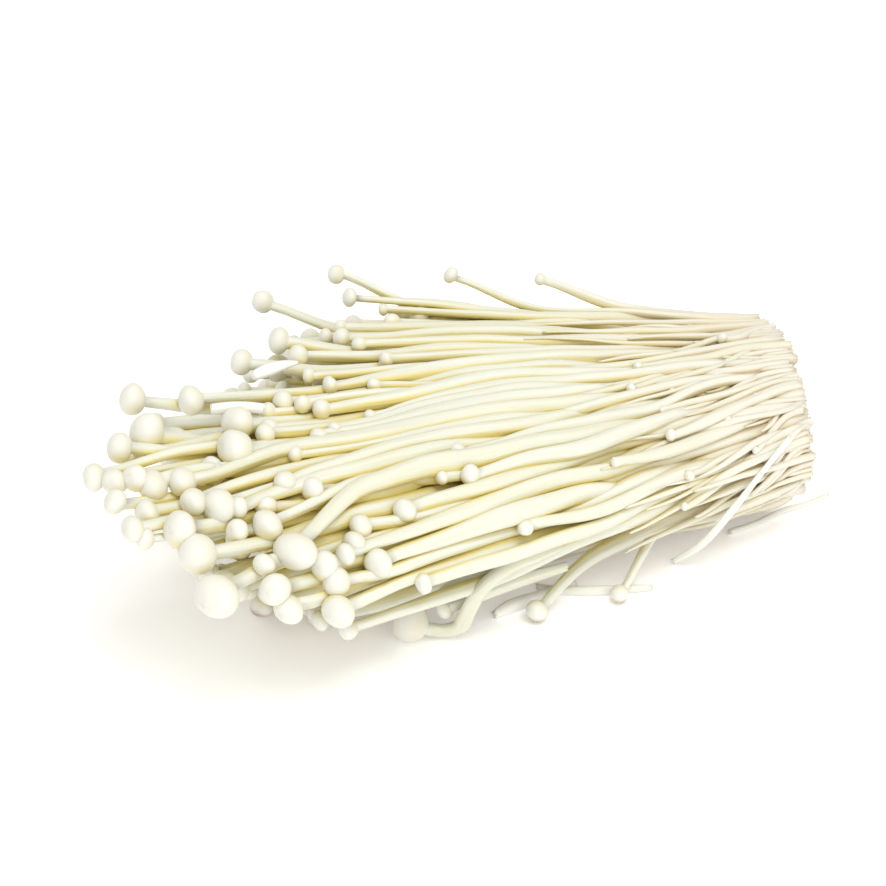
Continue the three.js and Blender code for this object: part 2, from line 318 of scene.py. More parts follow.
# A cap: its height is its squash times its radius
CAP_SQUASH = (0.74, 0.98)
BROKEN_SQUASH = 0.25
CAP_TILT = 0.15
CAP_TOP = math.radians(87)
OVAL = (-0.09, 0.13)  # how far it departs from round
UNEVEN = ((0.026, 2.2), (0.008, 4))  # how high its waves are, and how close together
LUMP = {"share": 0.09, "height": 0.2, "width": 0.3, "upwards": 0.8}
DIMPLE = {"depth": (-0.15, 0.14), "width": 0.3}
CAP_OVER_STEM = 0.75  # the stem ends this share of the cap's radius short of the reach
CAP_MIDDLE = {"broken": 0.2, "whole": 0.9}  # how far past the stem's end it is, as a share of the height
CAP_LAP = 0.1  # the cap's lowest ring is wider than the stem by this share of the cap's radius
NECK_TINT = 0.4  # how much of the cap's colour the stem's last ring has
CAP_RIM_SHADE_FADE = {"at_middle": 0.5, "over": 0.7}  # the painted shade on the cap's rim and underside fades out above the cap's middle

BROKEN_TAPER = 0.6  # how much of its width a stem without a cap loses
RING_SPACING = 0.9  # under 1, a stem's rings are closer together towards its cap
PATTERN_SPREAD = 200  # no two mushrooms show the same part of the material's noise

# Mesh detail
SIDES = 20
STEM_RINGS = 36
DOME_RINGS = 14
TURNS = np.arange(SIDES) * 2 * math.pi / SIDES

SEED = 20  # the CAD part's too
SHAPE_SEED = 3
SURFACE_SEED = 5


class Draws:
    """A seeded draw between two values, the same as the CAD part's."""

    MULTIPLIER = 1664525
    INCREMENT = 1013904223
    MODULUS = 4294967296

    def __init__(self, seed):
        self.state = seed

    def __call__(self, low, high):
        self.state = (self.state * self.MULTIPLIER + self.INCREMENT) % self.MODULUS
        return low + (high - low) * self.state / self.MODULUS


draw = Draws(SEED)


def lerp(low, high, share):
    return low + (high - low) * share


def eased(share):
    share = np.clip(share, 0, 1)
    return share * share * (3 - 2 * share)


def boxed(reach):
    """The power that shapes the underside at this reach."""
    share = (reach - BOXED_OUT["from"]) / (BOXED_OUT["to"] - BOXED_OUT["from"])
    return lerp(1, BOXED_OUT["power"], eased(share))


def place(reach, bearing, rim):
    """The point (x, y, z) at a reach, bearing and rim share, each a number or an array."""
    share = reach / LENGTH
    middle = lerp(*MIDDLE, share)
    across = np.cos(np.radians(bearing))
    up = np.sin(np.radians(bearing))
    below = up < 0
    power = boxed(reach)
    across = np.where(below, np.sign(across) * np.abs(across) ** power, across)
    height = np.where(below, middle, lerp(*TOP, share) - middle)
    up = np.where(below, -np.abs(up) ** power, up)
    side = -lerp(*HALF_WIDTH, share) * across * rim
    return np.stack(np.broadcast_arrays(CUT_END - reach, side, middle + height * up * rim), -1)


def furthest(bearing, rim):
    """The furthest reach of a mushroom with this bearing and rim share."""
    low, high = 0.0, LENGTH
    while high - low > 0.1:
        reach = (low + high) / 2
        _, y, z = place(reach, bearing, rim)
        limit = min(
            FAN["reach"] - FAN["rounding"] * y * y,
            UPPER_BEVEL["reach"] - UPPER_BEVEL["per_side"] * y - UPPER_BEVEL["per_height"] * z,
            LOWER_BEVEL["reach"] + LOWER_BEVEL["per_height"] * z,
            NEAR_BEVEL["reach"] + NEAR_BEVEL["per_side"] * y + NEAR_BEVEL["per_height"] * z,
            SHOULDER["reach"] if z + SHOULDER["per_side"] * y > SHOULDER["height"] else LENGTH,
        )
        if reach < limit:
            low = reach
        else:
            high = reach
    return low


def twist(bearing):
    """How far round its lobe a stem at this bearing turns between root and cap."""
    for low, high, most in LOBES:
        if low <= bearing < high:
            return most * math.sin(math.pi * (bearing - low) / (high - low))
    return 0.0


def mushroom(reach, bearing, rim, cap, swing_side=0.0, swing_up=0.0):
    swing = (swing_side + draw(-SWING_SPREAD, SWING_SPREAD), swing_up + draw(-SWING_SPREAD, SWING_SPREAD))
    root_bearing = bearing + twist(bearing) + draw(-ROOT_SPREAD, ROOT_SPREAD)
    long = min(max((reach - ROOT_CROWDING["from"]) / ROOT_CROWDING["over"], 0), 1)
    slimming = FREE_STEM["width"] if rim > FREE_STEM["rim"] else 1
    return {
        "reach": reach,
        "bearing": bearing,
        "rim": rim,
        "cap": cap,
        "swing": swing,
        "root_bearing": root_bearing,
        "root_rim": ROOT_RIM * min(rim, 1) * (1 - ROOT_CROWDING["most"] * long),
        "radius": (STEM_BASE + STEM_PER_CAP * cap * draw(*STEM_SPREAD)) * slimming,
        "phase": 2 * math.radians(bearing) + draw(-PHASE_SPREAD, PHASE_SPREAD),
        "root_radius": ROOT_RADIUS,
        "widest": max(1.0, rim),
        "give": CHOSEN_GIVE,
        "hooked": (reach, bearing) == HOOKED_PLACE,
    }


def chosen_mushrooms():
    """The mushrooms with a place of their own: the CAD part's, in its order of draws, then the rest."""
    chosen = [mushroom(*row) for row in STANDING_OUT]
    for count, low, high, shortest in (FAR_SIDE, UNDERSIDE):
        for i in range(count):
            bearing = lerp(low, high, (i + 0.5) / count) + draw(-BEARING_SPREAD, BEARING_SPREAD)
            reach = furthest(bearing, OUTER_RIM) * draw(shortest, 1)
            chosen.append(mushroom(reach, bearing, OUTER_RIM, draw(*PLAIN_CAP)))
    count, innermost, outermost, shortest = INSIDE
    for i in range(count):
        bearing = (i * GOLDEN_TURN + 90) % 360 - 90
        rim = lerp(innermost, outermost, math.sqrt((i + 0.5) / count))
        reach = furthest(bearing, rim) * draw(shortest, 1)
        chosen.append(mushroom(reach, bearing, rim, draw(*PLAIN_CAP)))
    return chosen + [mushroom(*row) for row in ALSO_STANDING_OUT]


def in_the_way(m):
    """Whether a mushroom's tip is where the hooked stem bends to its cap."""
    return np.linalg.norm(place(m["reach"], m["bearing"], m["rim"]) - HOOKED_CAP) < HOOK_ROOM


def filling_mushrooms(chosen):
    """The rest: a sunflower spiral over the root, less the places that the chosen ones take."""
    spots = []
    for i in range(STEM_COUNT):
        bearing = (i * GOLDEN_TURN) % 360 - 90
        spots.append((bearing, math.sqrt((i + 0.5) / STEM_COUNT) * ROOT_RIM))
    for m in chosen:
        here = place(0.0, m["root_bearing"], m["root_rim"])
        gaps = [np.linalg.norm(place(0.0, *spot) - here) for spot in spots]
        spots.pop(int(np.argmin(gaps)))
    filling = []
    for bearing, rim in spots:
        tip_rim = min(rim, FILL_RIM)
        tip_bearing = bearing - twist(bearing) + draw(-CROSSING, CROSSING)
        length = INNER_LENGTH
        if rim > FILL_OUTSIDE:
            length = SEEN_LENGTH if FILL_SEEN[0] < bearing < FILL_SEEN[1] else OUTER_LENGTH
        reach = furthest(tip_bearing, tip_rim) * draw(*length)
        m = mushroom(reach, tip_bearing, tip_rim, draw(*PLAIN_CAP))
        m["root_bearing"] = bearing
        m["root_rim"] = rim
        m["widest"] = draw(*FILL_WIDEST)
        m["give"] = 1.0
        filling.append(m)
    return filling


def threads():
    """Short, thin stems on the outside of the root, most of them where the bunch doesn't lie on them."""
    made = []
    for i in range(THREADS):
        if i % CAPPED_THREADS:
            bearing = (i * GOLDEN_TURN) % THREAD_ARC["over"] + THREAD_ARC["from"]
            cap = 0
        else:
            bearing = draw(-90, 270)
            cap = draw(*THREAD_CAP)
        m = mushroom(lerp(*THREAD_REACH, draw(0, 1) ** 2), bearing, draw(*THREAD_RIM), cap)
        m["root_bearing"] = bearing + twist(bearing) + draw(-THREAD_LEAN, THREAD_LEAN)
        m["root_rim"] = draw(*THREAD_ROOT_RIM)
        m["radius"] = draw(*THREAD_RADIUS)
        m["root_radius"] = draw(*THREAD_ROOT_RADIUS)
        m["widest"] = THREAD_WIDEST
        m["give"] = 1.0
        made.append(m)
    return made


def as_arrays(mushrooms):
    """All mushrooms as one array a value, with what makes each stem uneven."""
    bunch = {key: np.array([m[key] for m in mushrooms], float) for key in mushrooms[0]}
    random = np.random.default_rng(SHAPE_SEED)
    count = len(mushrooms)
    bunch["girth"] = random.uniform(*GIRTH, count)
    bunch["full_at"] = random.uniform(*FULL_AT, count)
    bunch["ripple"] = random.uniform(*RIPPLE, (2, count))
    bunch["ripple_length"] = random.uniform(*RIPPLE_LENGTH, count)
    bunch["ripple_phase"] = random.uniform(0, 2 * math.pi, (2, count))
    bunch["kink"] = random.uniform(*KINK, (2, count))
    bunch["kink_length"] = random.uniform(*KINK_LENGTH, count)
    return bunch


def stem_radius(bunch, reach):
    share = reach / bunch["reach"]
    width = lerp(bunch["root_radius"], bunch["radius"] * bunch["girth"], eased(share / bunch["full_at"]))
    return width * lerp(1, NECK["width"], eased((share - NECK["from"]) / NECK["over"]))


def alone(bunch, reach):
    """Where each axis would run if its stem were alone, as (y, z), for reaches in rows."""
    share = np.clip(reach / bunch["reach"], 0, 1)
    bearing = lerp(bunch["root_bearing"], bunch["bearing"], eased(share))
    rim = lerp(bunch["root_rim"], bunch["rim"], share**RIM_RISE)
    point = place(reach, bearing, rim)[..., 1:]
    before = 1 - eased((reach - bunch["reach"] + BEND_LENGTH) / BEND_LENGTH)
    point = point - bunch["swing"] * (before * share)[..., None]
    held = np.sin(math.pi * share)
    angle = reach / WAVE_LENGTH + bunch["phase"]
    ripple = reach / bunch["ripple_length"] + bunch["ripple_phase"][:, None]
    kink = reach / bunch["kink_length"] + bunch["ripple_phase"][::-1, None]
    waves = WAVE * np.stack([np.sin(angle), np.cos(angle)])
    waves = waves + bunch["ripple"][:, None] * np.sin(ripple) + bunch["kink"][:, None] * np.sin(kink)
    return point + np.moveaxis(held * waves, 0, -1)


def rim_share(point, reach):
    """The rim share of points (y, z)."""
    share = reach / LENGTH
    middle = lerp(*MIDDLE, share)
    across = np.abs(point[..., 0]) / lerp(*HALF_WIDTH, share)
    up = (point[..., 1] - middle) / (lerp(*TOP, share) - middle)
    power = 2 / boxed(reach)
    down = np.clip(1 - point[..., 1] / middle, 0, None)
    return np.where(up >= 0, np.hypot(across, up), (across**power + down**power) ** (1 / power))


def keep_in(point, reach, radius, widest):
    """Keeps points (y, z) above the table and inside the bunch's outline, or their own."""
    middle = lerp(*MIDDLE, reach / LENGTH)
    excess = np.maximum(rim_share(point, reach) / widest, 1)
    point[..., 0] /= excess
    point[..., 1] = middle + (point[..., 1] - middle) / excess
    point[..., 1] = np.maximum(point[..., 1], radius + FLOOR_GAP)


def settle(bunch):
    """Lets all stems make room for each other, and returns their axes as (section, stem, (y, z))."""
    reach = (np.arange(SECTIONS) * SECTION_STEP)[:, None]
    own = alone(bunch, reach)
    stems = stem_radius(bunch, reach)
    radius = np.where(reach < bunch["reach"], stems, 0)
    near_cap = np.abs(reach - bunch["reach"]) < CAP_REACH
    radius = np.where(near_cap, np.maximum(bunch["cap"] / 2, stems), radius)
    meet = (radius[:, :, None] + radius[:, None, :]) * PRESSED + CLEARANCE
    meet[(radius[:, :, None] == 0) | (radius[:, None, :] == 0)] = 0
    meet[:, np.arange(meet.shape[1]), np.arange(meet.shape[1])] = 0
    held = eased((reach - bunch["reach"] + HELD["before_tip"]) / HELD["over"])
    give = lerp(1.0, bunch["give"], held)
    hold = np.where(reach > bunch["reach"] - SECTION_STEP, TIP_HOLD, 1.0)[..., None]
    widest = 1 + (bunch["widest"] - 1) * np.clip(reach / bunch["reach"], 0, 1)
    yields = (give[:, :, None] / (give[:, :, None] + give[:, None, :]) / EASE).astype(np.float32)
    meet = meet.astype(np.float32)
    axis = own.copy()
    for _ in range(ROUNDS):
        side, height = (axis[:, :, None, i] - axis[:, None, :, i] for i in (0, 1))
        side, height = side.astype(np.float32), height.astype(np.float32)
        gap = np.sqrt(side * side + height * height) + np.float32(NOT_ZERO)
        push = np.clip(meet - gap, 0, None) / gap * yields
        axis = axis + np.stack([(side * push).sum(2), (height * push).sum(2)], -1)
        drift = axis - own
        nearer_root = np.concatenate([drift[:1], drift[:-1]])
        nearer_tip = np.concatenate([drift[1:], drift[-1:]])
        drift = (nearer_root + 2 * drift + nearer_tip) / 4
        axis = own + drift * hold
        keep_in(axis, reach, radius, widest)
    return axis


def along_axis(axis, reach):
    """Points (x, y, z) on smooth curves through the sections, for reaches (ring, stem)."""
    at = np.clip(reach / SECTION_STEP, -1, SECTIONS - 3.001)
    section = np.clip(np.floor(at), 0, None).astype(int)
    share = (at - section)[..., None]
    stem = np.broadcast_to(np.arange(axis.shape[1]), section.shape)
    before = axis[np.maximum(section - 1, 0), stem]
    start = axis[section, stem]
    end = axis[section + 1, stem]
    after = axis[section + 2, stem]
    cubic = 3 * (start - end) + after - before
    curve = start + 0.5 * share * (
        end - before + share * (2 * before - 5 * start + 4 * end - after + share * cubic)
    )
    curve = np.where(share < 0, start + share * (end - start), curve)
    return np.concatenate([(CUT_END - reach)[..., None], curve], -1)


def unit(vectors):
    return vectors / np.linalg.norm(vectors, axis=-1, keepdims=True)


def cross_frame(direction):
    """Two directions at right angles to this one: level, and as near upright as can be."""
    sideways = unit(np.cross(direction, (0, 0, 1)))
    return sideways, np.cross(sideways, direction)


# ---------------------------------------------------------------- mushrooms as meshes

def stem_rings(centre, radius, reach, direction, lobes, random):
    """The points of the stems, as (ring, stem, side, 3): a little lobed, and ragged at the root."""
    twisted = TURNS + (reach / TWIST_LENGTH)[..., None]
    wobble = 0
    for (times, height), phase in zip(WOBBLE, lobes):
        wobble = wobble + height * np.cos(times * twisted + phase[:, None])
    sideways, upwards = cross_frame(direction)
    around = np.cos(TURNS)[:, None] * sideways[..., None, :] + np.sin(TURNS)[:, None] * upwards[..., None, :]
    stem = centre[..., None, :] + (radius[..., None] * (1 + wobble))[..., None] * around
    ragged = random.uniform(-RAGGED_RING, RAGGED_RING, (centre.shape[1], SIDES, 1))
    stem[0] += direction[0][:, None, :] * ragged
    return stem


def dome_rings(tip, towards, out, height, cap, broken, phases, random):
    """The points of the caps, as (ring, stem, side, 3): a little oval and uneven, some with a lump or
    with a dimple on top."""
    count = len(cap)
    sideways, upwards = cross_frame(towards)
    wide, deep = 1 + random.uniform(*OVAL, (2, count, 1, 1))
    around = np.cos(TURNS)[:, None] * sideways[:, None, :] * wide
    around = around + np.sin(TURNS)[:, None] * upwards[:, None, :] * deep
    outwards = out[..., None, None] * around + (height[..., None] * towards)[:, :, None, :]
    swell = 1
    for (most, fineness), phase in zip(UNEVEN, phases):
        waves = (outwards * random.normal(0, fineness, (count, 1, 3))).sum(-1)
        swell = swell + most * np.sin(waves + phase[:, None])
    lump = unit(random.normal(0, 1, (count, 3)) + LUMP["upwards"] * towards)
    lumpy = np.where(random.uniform(0, 1, count) < LUMP["share"], LUMP["height"], 0) * ~broken
    from_lump = 1 - (outwards * lump[:, None, :]).sum(-1)
    swell = swell + lumpy[:, None] * np.exp(-((from_lump / LUMP["width"]) ** 2))
    dimple = np.clip(random.uniform(*DIMPLE["depth"], count), 0, None)
    swell = swell - (dimple * np.exp(-((out / DIMPLE["width"]) ** 2)) * (height > 0))[..., None]
    return tip[:, None, :] + outwards * (swell * cap[:, None])[..., None]


def grow(centre, radius, cap, reach, whiteness, random):
    """Closed tubes with caps. Centre is (ring, stem, 3), radius and reach are (ring, stem), and cap is
    the radius of each cap, or 0 for a broken end. Returns the points as (ring, stem, side, 3), the
    rings' middles, the material's own coordinates and its other values."""
    count = centre.shape[1]
    direction = unit(np.gradient(centre, axis=0))
    phases = random.uniform(0, 2 * math.pi, (len(WOBBLE) + len(UNEVEN), count))
    stem = stem_rings(centre, radius, reach, direction, phases, random)

    broken = cap == 0
    cap = np.where(broken, radius[-1], cap)
    squash = np.where(broken, BROKEN_SQUASH, random.uniform(*CAP_SQUASH, count))
    towards = unit(direction[-1] + random.normal(0, CAP_TILT, (count, 3)) * ~broken[:, None])
    past_end = np.where(broken, CAP_MIDDLE["broken"], CAP_MIDDLE["whole"])
    tip = centre[-1] + towards * (cap * squash * past_end)[:, None]
    tip[:, 2] = np.maximum(tip[:, 2], cap + FLOOR_GAP)
    lowest = -np.arccos(np.clip(radius[-1] / cap + CAP_LAP, 0, 0.95))
    angle = lerp(lowest, CAP_TOP, np.linspace(0, 1, DOME_RINGS)[:, None])
    out = np.cos(angle)
    height = np.sin(angle) * squash
    dome = dome_rings(tip, towards, out, height, cap, broken, phases[len(WOBBLE):], random)

    points = np.concatenate([stem, dome])
    points[..., 2] = np.maximum(points[..., 2], LOWEST)
    reach = np.concatenate([reach, reach[-1] + (height - height[0]) * cap])
    across = np.concatenate([radius, out * cap])[..., None]
    own = random.uniform(0, PATTERN_SPREAD, (count, 3))
    flow = np.stack(np.broadcast_arrays(across * np.cos(TURNS), across * np.sin(TURNS), reach[..., None]), -1)
    middle = np.concatenate([centre, np.repeat(tip[None], DOME_RINGS, 0)])
    below = np.zeros_like(radius)  # what the stem's rings have of a value that only caps have
    is_cap = np.concatenate([np.zeros(len(centre)), np.ones(DOME_RINGS)])
    is_cap[len(centre) - 1] = NECK_TINT
    on_top = np.clip(height / squash, 0, 1)
    # painted shade on the cap's rim and underside, none on its top
    cap_rim_shade = np.clip(CAP_RIM_SHADE_FADE["at_middle"] - height / squash / CAP_RIM_SHADE_FADE["over"], 0, 1)
    values = {
        "is_cap": np.maximum(is_cap[:, None] * ~broken, whiteness),
        "on_top": np.concatenate([below, on_top]),
        "cap_rim_shade": np.concatenate([below, cap_rim_shade]),
        "reach": reach,
        "tone": np.broadcast_to(random.uniform(0, 1, count), reach.shape),
    }
    for key, value in values.items():
        values[key] = np.broadcast_to(value[..., None], points.shape[:3])
    return points, middle, flow + own[:, None, :], values


def nooks(points, middle, bunch, axis):
    """How much of what each point faces is other stems, from 0 to 1, which the material paints as golden
    shade. Points are (ring, stem, side, 3) and middle is (ring, stem, 3)."""
    reach = np.clip(CUT_END - middle[..., 0], 0, SECTION_STEP * (SECTIONS - 1.01))
    section = (reach / SECTION_STEP).astype(int)
    share = (reach / SECTION_STEP - section)[..., None, None]
    past_tip = reach[..., None] - bunch["reach"]
    cap = bunch["cap"] / 2
    radius = np.where(past_tip < 0, stem_radius(bunch, reach[..., None]), 0)
    radius = np.maximum(radius, np.sqrt(np.clip(cap**2 - past_tip**2, 0, None)))
    radius[:, np.arange(len(cap)), np.arange(len(cap))] = 0
    outwards = unit(points - middle[:, :, None])
    result = np.zeros(points.shape[:3])
    for ring in range(len(points)):
        others = lerp(axis[section[ring]], axis[section[ring] + 1], share[ring]).astype(np.float32)
        to_side, to_top = (
            others[:, None, :, i] - points[ring, :, :, None, i + 1].astype(np.float32) for i in (0, 1)
        )
        away = np.sqrt(to_side**2 + to_top**2) + np.float32(NEAREST)
        facing = to_side * outwards[ring, :, :, None, 1] + to_top * outwards[ring, :, :, None, 2]
        facing = np.clip(facing, 0, None) / away
        blocked = radius[ring][:, None] / np.maximum(away, radius[ring][:, None]) * np.exp(-away / NOOK_REACH)
        result[ring] = 1 - np.exp(-NOOK_DEPTH * (blocked * facing).sum(-1))
    return result


def underside_shade(points, middle):
    """How much painted shade each point gets, from 0 to 1: most where it faces down and lies close to the
    table.
    """
    down = np.clip(-unit(points - middle[:, :, None])[..., 2], 0, 1)
    return down * np.exp(-points[..., 2] / UNDERSIDE_SHADE_HEIGHT)


def grow_bunch(bunch, axis):
    """The bunch's mushrooms, each along its settled axis."""
    random = np.random.default_rng(SURFACE_SEED)
    count = len(bunch["reach"])
    cap = bunch["cap"] / 2
    bearing = bunch["root_bearing"]
    root = random.uniform(*CUT_RAGGED, count) - FAR_LOBE["longer"] * (bearing > FAR_LOBE["from"])
    underneath = eased((UNDERSIDE_CUT["below"] - bearing) / UNDERSIDE_CUT["over"])
    root = root + UNDERSIDE_CUT["shorter"] * underneath
    neck = bunch["reach"] - cap * CAP_OVER_STEM
    along = np.linspace(0, 1, STEM_RINGS)[:, None]
    reach = lerp(root, neck, along**RING_SPACING)
    centre = along_axis(axis, reach)
    phase = random.uniform(0, 2 * math.pi, (2, count))
    radius = stem_radius(bunch, np.maximum(reach, 0))
    swell = 1
    for (most, length), start in zip(SWELLS, phase):
        swell = swell + most * np.sin(reach / length + start)
    radius = radius * swell
    radius = np.where(cap > 0, radius, radius * (1 - BROKEN_TAPER * along**3))
    centre[..., 2] = np.maximum(centre[..., 2], radius + FLOOR_GAP)
    points, middle, flow, values = grow(centre, radius, cap, reach, 0, random)
    # painted shade: golden where a stem faces other stems, standing for the shade and warm light between them
    values["nook_shade"] = nooks(points, middle, bunch, axis)
    # painted brown shade where the stem faces down near the table
    values["underside_shade"] = underside_shade(points, middle)
    return points, flow, values


def grow_by_hand(rows, whiteness, seed):
    """Stems through listed points, each (x, y, z, radius)."""
    at = np.linspace(0, 1, STEM_RINGS)
    courses = []
    for points, _ in rows:
        points = np.array(points, float)
        steps = np.linalg.norm(np.diff(points[:, :3], axis=0), axis=1)
        along = np.concatenate([[0], np.cumsum(steps)]) / steps.sum()
        slopes = np.gradient(points, along, axis=0)
        section = np.clip(np.searchsorted(along, at, "right") - 1, 0, len(points) - 2)
        width = (along[section + 1] - along[section])[:, None]
        share = (at[:, None] - along[section][:, None]) / width
        start, end = points[section], points[section + 1]
        courses.append(
            start
            + share * (width * slopes[section])
            + share**2 * (3 * (end - start) - width * (2 * slopes[section] + slopes[section + 1]))
            + share**3 * (2 * (start - end) + width * (slopes[section] + slopes[section + 1]))
        )
    course = np.stack(courses, 1)
    cap = np.array([cap / 2 for _, cap in rows])
    reach = CUT_END - course[..., 0] + HAND_MADE_REACH
    random = np.random.default_rng(seed)
    points, _, flow, values = grow(course[..., :3], course[..., 3], cap, reach, whiteness, random)
    # the stems through listed points get no painted shade
    values["nook_shade"] = np.zeros(points.shape[:3])
    values["underside_shade"] = np.zeros(points.shape[:3])
    return points, flow, values


def tube_faces(rings):
    """The faces of one closed tube whose last two points are its root's middle and its tip."""
    ring = np.arange(rings - 1)[:, None] * SIDES
    here = np.arange(SIDES)[None, :]
    after = (here + 1) % SIDES
    quads = np.stack([ring + here, ring + SIDES + here, ring + SIDES + after, ring + after], -1)
    last = rings * SIDES
    top = (rings - 1) * SIDES
    side = np.arange(SIDES)
    onward = (side + 1) % SIDES
    root_fan = np.stack([np.full(SIDES, last), side, onward], -1)
    tip_fan = np.stack([np.full(SIDES, last + 1), top + onward, top + side], -1)
    return quads.reshape(-1, 4), np.concatenate([root_fan, tip_fan])


def mesh_object(name, points, flow, attributes):
    """One mesh of many closed tubes: points (ring, stem, SIDES, 3) in millimetres."""
    rings, stems = points.shape[:2]

    def per_tube(values):
        values = np.moveaxis(values, 1, 0)
        ends = np.stack([values[:, 0].mean(1), values[:, -1].mean(1)], 1)
        return np.concatenate([values.reshape(stems, rings * SIDES, *values.shape[3:]), ends], 1)

    corners = per_tube(points).reshape(-1, 3) * MM
    quads, fans = tube_faces(rings)
    first = (np.arange(stems) * (rings * SIDES + 2))[:, None, None]
    all_quads = (quads[None] + first).reshape(-1, 4)
    all_fans = (fans[None] + first).reshape(-1, 3)
    mesh = bpy.data.meshes.new(name)
    mesh.vertices.add(len(corners))
    mesh.vertices.foreach_set("co", corners.ravel())
    loops = np.concatenate([all_quads.ravel(), all_fans.ravel()])
    mesh.loops.add(len(loops))
    mesh.loops.foreach_set("vertex_index", loops)
    sizes = np.concatenate([np.full(len(all_quads), 4), np.full(len(all_fans), 3)])
    mesh.polygons.add(len(sizes))
    mesh.polygons.foreach_set("loop_start", np.concatenate([[0], np.cumsum(sizes)[:-1]]))
    mesh.polygons.foreach_set("loop_total", sizes)
    mesh.update(calc_edges=True)
    mesh.polygons.foreach_set("use_smooth", np.ones(len(sizes), bool))
    for key, values in attributes.items():
        layer = mesh.attributes.new(key, "FLOAT", "POINT")
        layer.data.foreach_set("value", per_tube(values).ravel())
    layer = mesh.attributes.new("flow", "FLOAT_VECTOR", "POINT")
    layer.data.foreach_set("vector", per_tube(flow).ravel())
    mesh.validate()
    piece = bpy.data.objects.new(name, mesh)
    bpy.context.scene.collection.objects.link(piece)
    return piece


# ---------------------------------------------------------------- materials

class Nodes:
    """A short way to write a material's nodes."""

    def __init__(self, name):
        self.material = bpy.data.materials.new(name)
        self.material.use_nodes = True
        self.tree = self.material.node_tree
        self.shader = self.tree.nodes["Principled BSDF"]

    def node(self, kind, **values):
        made = self.tree.nodes.new(kind)
        for key, value in values.items():
            setattr(made, key, value)
        return made

    def link(self, source, target):
        self.tree.links.new(source, target)

    def attribute(self, name, output="Fac"):
        return self.node("ShaderNodeAttribute", attribute_name=name).outputs[output]

    def mix(self, share, first, second):
        made = self.node("ShaderNodeMix", data_type="RGBA")
        for socket, value in ((made.inputs[0], share), (made.inputs[6], first), (made.inputs[7], second)):
            if isinstance(value, (tuple, float, int)):
                socket.default_value = value if not isinstance(value, tuple) else (*value, 1)
            else:
                self.link(value, socket)
        return made.outputs[2]

    def ramp(self, value, low, high, start=0.0, end=1.0):
        made = self.node("ShaderNodeMapRange")
        made.inputs["From Min"].default_value = low
        made.inputs["From Max"].default_value = high
        made.inputs["To Min"].default_value = start
        made.inputs["To Max"].default_value = end
        self.link(value, made.inputs["Value"])
        return made.outputs["Result"]

    def math(self, operation, first, second):
        made = self.node("ShaderNodeMath", operation=operation)
        for socket, value in zip(made.inputs, (first, second)):
            if isinstance(value, (float, int)):
                socket.default_value = value
            else:
                self.link(value, socket)
        return made.outputs[0]

    def noise(self, vector, stretch, scale, detail=3.0):
        mapping = self.node("ShaderNodeMapping")
        mapping.inputs["Scale"].default_value = stretch
        self.link(vector, mapping.inputs["Vector"])
        made = self.node("ShaderNodeTexNoise")
        made.inputs["Scale"].default_value = scale
        made.inputs["Detail"].default_value = detail
        self.link(mapping.outputs["Vector"], made.inputs["Vector"])
        return made.outputs["Fac"]


CAP_COLOUR = (0.795, 0.80, 0.75)
# painted shade: the creamier, darker rim and underside of a cap
PAINTED_CAP_RIM_SHADE = (0.73, 0.71, 0.58)
# the broken pieces and the leaning stem are drawn whiter than the caps
WHITER_COLOUR = (0.88, 0.88, 0.85)
STEM_COLOUR = (0.745, 0.76, 0.675)
ROOT_COLOUR = (0.77, 0.735, 0.665)
# painted shade: the golden colour that stands for the shade between stems
PAINTED_NOOK_SHADE = (0.74, 0.64, 0.25)
# painted shade: brown on the undersides near the table, standing for the contact shadow
PAINTED_UNDERSIDE_SHADE = (0.42, 0.31, 0.20)
# painted shade between stems near the root, browner
PAINTED_ROOT_NOOK_SHADE = (0.72, 0.63, 0.49)
STREAK_COLOUR = (0.70, 0.685, 0.47)
SPECK_COLOUR = (0.55, 0.42, 0.22)


